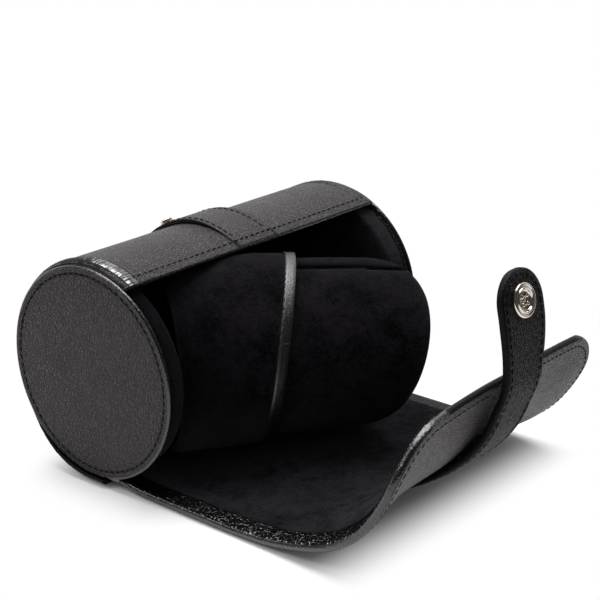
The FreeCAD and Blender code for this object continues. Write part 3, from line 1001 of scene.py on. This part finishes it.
# %% [markdown]
# Past the flap's end the strap goes on alone as a round-ended tab that curls back towards the drum. It is
# punched for the snap and turns about its root. A tab cut off there would show a gap when it swings, so its
# first stretch, still on the flap, blends into the part that turns.

# %% The tab
TAB_LENGTH, SNAP_REACH, TAB_CURL, TAB_SWELL = 41.0, 29.8, 85.0, 1.5
TAB_THICK = HALF_STRAP + STRAP_SWELL
TAB_TURN, HOLE_RADIUS = 5.0, 3.9
tab_foot = flap_strap_place(FLAP_END, 0, 0)
tab_up = slope(radians(84.0))
tab_in = Vector((-tab_up.z, 0, tab_up.x))


def on_tab(length, y, inward):
    """Flat place on the tab's middle layer, measured from its root. Past the snap it is straight."""
    curled = min(length, SNAP_REACH)
    angle = curled / TAB_CURL
    reach = TAB_CURL - inward
    ahead = tab_up * cos(angle) + tab_in * sin(angle)
    spot = tab_foot + tab_up * (reach * sin(angle)) + tab_in * (TAB_CURL - reach * cos(angle))
    return spot + ahead * (length - curled) + Vector((0, y, 0))


def strap_end_place(run, y, h):
    """Carries the strap from the flap's last strip on to the tab. run is measured from the tab's root."""
    share = ease(-12.0, 8.0, run)
    high = on_tab(run, y, h)
    return flap_strap_place(FLAP_END + run, y, h).lerp(high, share) if share < 1 else high


def tab_half(run):
    """Half the tab's width: it swells a little towards the snap and ends in a round."""
    half = STRAP_WIDTH / 2 + TAB_SWELL * ease(2, 24, run)
    return round_off(half, run - (TAB_LENGTH - half))


def tab_ring(run):
    half = round_off(TAB_THICK, TAB_THICK - (TAB_LENGTH - run))
    return slab_ring(max(tab_half(run), half), half, 14, 8, bluff=STRAP_BLUFF)


def tab_side(run, y, h):
    return 1 if abs(y) > tab_half(run) - STRAP_EDGE else 0


tab_start = MIDDLE_RUN[-1] - FLAP_END
round_start = TAB_LENGTH - STRAP_WIDTH / 2 - TAB_SWELL
tab_rows = spread(tab_start, round_start, 34)[:-1] + closing(round_start, TAB_LENGTH, 20)
bm = rolled_grid(tab_ring, tab_rows, strap_end_place, tab_side)
hole_centre = on_tab(SNAP_REACH, 0, 0)
hole_line = (on_tab(SNAP_REACH, 0, 1.0) - hole_centre).normalized()
punched = []
for part in bm.faces:
    off = part.calc_center_median() / mm - hole_centre
    if (off - hole_line * off.dot(hole_line)).length < HOLE_RADIUS:
        punched.append(part)
bmesh.ops.delete(bm, geom=punched, context="FACES")
bmesh.ops.bridge_loops(bm, edges=[edge for edge in bm.edges if edge.is_boundary])
bmesh.ops.recalc_face_normals(bm, faces=bm.faces)
# Painted shade: the tab takes the strap's darker leather copy.
tab = make_piece("strap_end", faced_outward(bm), [shaded_strap_grain, dull_edge])
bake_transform(tab)
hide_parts("strap_tab")

side_line = [(run, STRAP_SEAM - tab_half(run)) for run in spread(tab_start, round_start, 20)[:-1]]
seam_round = STRAP_WIDTH / 2 + TAB_SWELL - STRAP_SEAM
tab_line = side_line + arc(round_start, 0, seam_round, -seam_round, range(0, 181, 10))
tab_line += [(run, -y) for run, y in reversed(side_line)]
row = along(tab_line, STITCH_PITCH)
bm = sew(bmesh.new(), row, lambda run, y, h: strap_end_place(run, y, -TAB_THICK - h), 0.02)
tab_seam = seam_piece("strap_end_seam", bm)
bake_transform(tab_seam)

# %% [markdown]
# The snap is turned metal: a stepped cap with five raised dots, a socket behind it, and a ball-headed stud on
# the strap. The dots could be pressed out of the cap, but at their size balls sunk into it look the same.

# %% The snap
SNAP_CAP = [(0.0, 0.25), (3.0, 0.2), (3.5, 0.3), (3.7, 0.9), (3.9, 1.4), (4.2, 1.55), (4.5, 1.4), (4.65, 1.0)]
SNAP_CAP += [(4.8, 0.75), (5.0, 0.8), (5.2, 1.05), (5.5, 1.15), (5.85, 1.0), (6.1, 0.7), (6.2, 0.3)]
SNAP_CAP += [(6.2, -0.45), (5.6, -0.5), (0.0, -0.5)]
SOCKET = [(0.0, -2.3), (3.8, -2.3), (3.9, -2.0), (3.9, -0.3), (5.0, -0.2), (5.2, 0.0), (5.2, 0.15), (4.9, 0.28)]
SOCKET += [(4.4, 0.3), (4.2, 0.4), (4.0, 0.52), (3.8, 0.58), (3.6, 0.5), (3.5, 0.2), (3.5, -1.9), (3.2, -2.05)]
SOCKET += [(0.0, -2.05)]
STUD = [(0.0, -1.6), (1.5, -1.6), (1.5, -0.1), (4.0, -0.1), (4.4, 0.15), (4.3, 0.45), (3.6, 0.62), (2.2, 0.75)]
STUD += [(1.9, 1.1), (1.95, 1.45), (2.45, 1.8), (2.7, 2.25), (2.6, 2.75), (2.1, 3.12), (1.2, 3.3), (0.0, 3.32)]
DOT_RING, DOT, MIDDLE_DOT, DOT_LIFT = 2.0, 0.85, 0.55, 0.35
across = Vector((0, 1, 0))
snap_out = -(on_tab(SNAP_REACH, 0, 1.0) - on_tab(SNAP_REACH, 0, 0.0)).normalized()
up = snap_out.cross(across).normalized()
snap_seat = on_tab(SNAP_REACH, 0, -TAB_THICK)
bm = turned_piece(SNAP_CAP, snap_seat, snap_out, 48, across)
for angle in (45, 135, 225, 315, None):
    off, size = Vector(), MIDDLE_DOT
    if angle is not None:
        turn_by = radians(angle)
        off, size = (across * cos(turn_by) + up * sin(turn_by)) * DOT_RING, DOT
    ball = bmesh.ops.create_uvsphere(bm, u_segments=12, v_segments=8, radius=size * mm)
    bmesh.ops.translate(bm, verts=ball["verts"], vec=(snap_seat + off + snap_out * DOT_LIFT) * mm)
snap = make_piece("snap_front", bm, [nickel])
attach(snap, "tab")
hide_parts("snap_cap")

stud_box = [Vector(corner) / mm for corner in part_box("snap_stud")]
stud_centre = (stud_box[0] + stud_box[1]) / 2
stud_out = (Vector((stud_centre.x, 0, stud_centre.z)) - DRUM_MIDDLE).normalized()
stud_seat = DRUM_MIDDLE + stud_out * (WRAP_RADIUS + STRAP_THICK - 0.25)
stud = make_piece("strap_stud", turned_piece(STUD, stud_seat, stud_out, 36, across), [nickel])
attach(stud, "case")
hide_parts("snap_stud")
socket_seat = on_tab(SNAP_REACH, 0, TAB_THICK)
socket = make_piece("snap_back", turned_piece(SOCKET, socket_seat, -snap_out, 36, across), [nickel])
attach(socket, "tab")
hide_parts("snap_socket")
print("snap faces", rounded(snap_out, 2), "and the stud", rounded(stud_out, 2))

# %% [markdown]
# The insert is a soft suede sleeve with a bound, slanting mouth, and a padded cuff that slides in it. Plain
# tubes would look too stiff. All are walls wound round the insert's own line, and their soft top stands up
# fuller than a circle.

# %% The insert's own place
INSERT_YAW = radians(33.0)
SLEEVE_RADIUS, SLEEVE_WALL, SLEEVE_LENGTH, SLEEVE_FRONT = 34.3, 1.6, 37.0, 6.0
BINDING, CROWN = 4.6, 4.2
REST_HEIGHT = LINING_HEIGHT + 1.05
insert_base = Vector((26.5, -9.4, LINING_HEIGHT + 0.8 + SLEEVE_RADIUS + 0.3))
insert_along = Vector((sin(INSERT_YAW), cos(INSERT_YAW), 0))
insert_across = Vector((cos(INSERT_YAW), -sin(INSERT_YAW), 0))


def crown_at(run):
    """How far the soft top stands up, along the insert."""
    return (CROWN - 0.1 * max(run, 0.0)) * ease(-34, -10, run)


def on_insert(radius, angle, run, travel=0.0):
    """Place on the insert: angle from its top towards the front, run along its line from the mouth.
    What slides back by travel is no fuller than what it slides into."""
    spoke = insert_across * sin(angle) + Vector((0, 0, cos(angle)))
    full = min(crown_at(run), crown_at(run - travel)) * max(0.0, cos(angle)) ** 2
    spot = insert_base + spoke * radius + insert_along * run + Vector((0, 0, full))
    spot.z = max(spot.z, REST_HEIGHT)
    return spot


def mouth_run(angle):
    """The mouth's edge: it reaches further out over the top and at the back than at the front."""
    return 10.2 + 5.0 * cos(angle) - 8.9 * max(sin(angle), -0.45)


def sag(angle, run):
    """Slow unevenness of the soft sleeve, in mm."""
    return 0.35 * ripple(cos(angle) * 1.6, sin(angle) * 1.6, run * 0.06)


def wound_grid(steps, rows, place):
    """A grid wound into a wall: rows go round its section, and steps round the insert, as shares of it."""
    bm = bmesh.new()
    bmesh.ops.create_grid(bm, x_segments=steps, y_segments=len(rows), size=1.0)
    for vert in bm.verts:
        i = round((vert.co.x + 1) / 2 * steps)
        j = round((vert.co.y + 1) / 2 * len(rows)) % len(rows)
        vert.co = place(i / steps, *rows[j]) * mm
    return closed(bm)


print("insert's middle in mm:", rounded(insert_base), "mouth at its top:", round(mouth_run(0.0), 1))

# %% [markdown]
# The sleeve runs from its rear end, which is drawn in a little, to just under the binding. A tube could be cut
# off at the slant, but here its rows are stretched to end there, which leaves a clean edge.

# %% The sleeve
sleeve_wall = [(0.0, share) for share in spread(0.0, 1.0, 24)]
sleeve_wall += [(SLEEVE_WALL, share) for share in spread(1.0, 0.0, 24)]


def sleeve_place(turn_share, inward, share):
    angle = 2 * pi * turn_share
    stop = mouth_run(angle) - BINDING + 0.4
    run = -SLEEVE_LENGTH + (stop + SLEEVE_LENGTH) * share
    tuck_in = 1.6 * (1 - ease(0.0, 0.06, share))
    return on_insert(SLEEVE_RADIUS - inward + sag(angle, run) - tuck_in, angle, run)


sleeve = make_piece("sleeve", wound_grid(96, sleeve_wall, sleeve_place), [suede])
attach(sleeve, "insert")
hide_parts("sleeve_suede")

# %% [markdown]
# A band of smooth leather is folded over the mouth and sewn with grey thread. Its ends meet in front. It could
# be a bent slab, but wound like the sleeve, it follows the slant by itself.

# %% The binding at the sleeve's mouth
BAND = [(-0.8, 0.98), (-0.4, 1.04), (0.0, 1.06), (0.4, 1.04), (0.8, 0.98), (0.95, 0.8), (1.0, 0.4)]
BAND += [(-c, -s) for c, s in BAND]
MOUTH_STITCHES, JOINT_ANGLE = 76, radians(66.0)
mouth_length = 2 * pi * SLEEVE_RADIUS


def proud(angle):
    """The band stands a little off the suede, but not underneath, where it rests."""
    return 0.25 - 0.55 * ease(0.3, 0.75, -cos(angle))


def binding_place(turn_share, c, s):
    angle = 2 * pi * turn_share
    outer, inner = SLEEVE_RADIUS + proud(angle), SLEEVE_RADIUS - SLEEVE_WALL - 0.05
    run = mouth_run(angle) - BINDING / 2 + BINDING / 2 * c
    return on_insert((outer + inner) / 2 + (outer - inner) / 2 * s + sag(angle, run), angle, run)


def mouth_stitch_place(s, y, h):
    angle = s / SLEEVE_RADIUS
    return on_insert(SLEEVE_RADIUS + proud(angle) + h, angle, mouth_run(angle) - BINDING + 0.45 + y)


mouth_band = make_piece("sleeve_mouth", wound_grid(128, BAND, binding_place), [binding])
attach(mouth_band, "insert")
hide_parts("sleeve_binding")
mouth_spots = along([(0.0, 0.0), (mouth_length, 0.0)], mouth_length / MOUTH_STITCHES)
bm = sew(bmesh.new(), mouth_spots, mouth_stitch_place, -0.03, 2.0, 0.55, 0.4)
joint = bmesh.ops.create_uvsphere(bm, u_segments=8, v_segments=6, radius=0.5)
for vert in joint["verts"]:
    angle = JOINT_ANGLE - vert.co.x * 0.5 / SLEEVE_RADIUS
    run = mouth_run(angle) - BINDING / 2 + vert.co.z * (BINDING - 0.3)
    vert.co = on_insert(SLEEVE_RADIUS + 0.3 + vert.co.y * 0.3, angle, run) * mm
mouth_seam = seam_piece("sleeve_mouth_seam", bm, grey_thread)
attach(mouth_seam, "insert")
print("mouth stitches:", len(mouth_spots))

# %% [markdown]
# The cuff is a sprung C, open along the top: a thick, soft pad, rounded over at its slanting end like a
# cushion, with a thin spring liner inside. A bent slab would end square, so the pad's whole section is drawn
# and wound round the insert's line.

# %% The cuff
CUFF_RADIUS, CUFF_REACH, CUFF_HOLD, CUFF_SLOT = 32.0, 59.0, 10.0, 11.0
PAD, SPRING, CUFF_TRAVEL = 2.4, 1.2, 24.0
END_ROUND, END_DEPTH = 12.0, 12.0 * 0.42
CUFF_STEPS, EDGE_STEPS = 100, 3.0
REAR_EDGE, SPRING_GAP = radians(3.5), 0.03
SPRING_START, SPRING_STOP = -8.0, 50.0
half_slot = asin(CUFF_SLOT / 2 / CUFF_RADIUS)
end_start = CUFF_REACH - END_ROUND
cuff_profile = [(PAD, -CUFF_HOLD), (0.0, 0.6 - CUFF_HOLD)]
cuff_profile += [(0.0, run) for run in spread(3.0 - CUFF_HOLD, end_start, 16)]
cuff_profile += arc(END_DEPTH, end_start, END_DEPTH, END_ROUND, range(-81, 1, 9))
cuff_profile += [(PAD + 2.0, CUFF_REACH - 0.6), (PAD + 1.6, CUFF_REACH - 2.5)]
cuff_profile += [(PAD, run) for run in spread(CUFF_REACH - 6.0, 1.0 - CUFF_HOLD, 8)[:-1]]
spring_profile = [(PAD, run) for run in spread(SPRING_START, SPRING_STOP, 8)]
spring_profile += [(PAD + SPRING, run) for run in spread(SPRING_STOP, SPRING_START, 8)]


def cuff_place(angle, inward, run):
    """Place on the cuff, soft and slightly full outside, with a slanting end."""
    soft = 0.1 + 0.35 * ease(20, 45, run)
    soft *= ripple(cos(angle) * 1.8, sin(angle) * 1.8, run * 0.05 + 5.0)
    crown = 0.35 * sin(pi * ease(0, CUFF_REACH, run)) if run > 0 else 0.0
    slant = 3.0 - 16.0 * ((1 - cos(angle - 0.61)) / 2) ** 0.9
    run += slant * ease(10, CUFF_REACH, run)
    return on_insert(CUFF_RADIUS - inward + (soft + crown if inward < PAD else 0.0), angle, run, CUFF_TRAVEL)


def cushion_place(share, inward, run):
    """The pad's two walls draw together at its long edges, beside the slot."""
    drawn = 0.85 * (1 - min(1.0, min(share, 1 - share) * CUFF_STEPS / EDGE_STEPS)) ** 2
    if inward <= PAD:
        inward = PAD / 2 + (inward - PAD / 2) * (1 - drawn)
    return cuff_place(half_slot + (2 * pi - half_slot + REAR_EDGE) * share, inward, run)


def spring_place(share, inward, run):
    start = half_slot + SPRING_GAP
    return cuff_place(start + (2 * pi - 2 * start) * share, inward, run)


cuff = make_piece("cuff_cushion", wound_grid(CUFF_STEPS, cuff_profile, cushion_place), [suede])
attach(cuff, "cuff")
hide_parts("cuff_pad")
spring = make_piece("cuff_liner", wound_grid(CUFF_STEPS, spring_profile, spring_place), [liner])
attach(spring, "cuff")
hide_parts("cuff_spring")
print("cuff faces:", len(cuff.data.polygons))
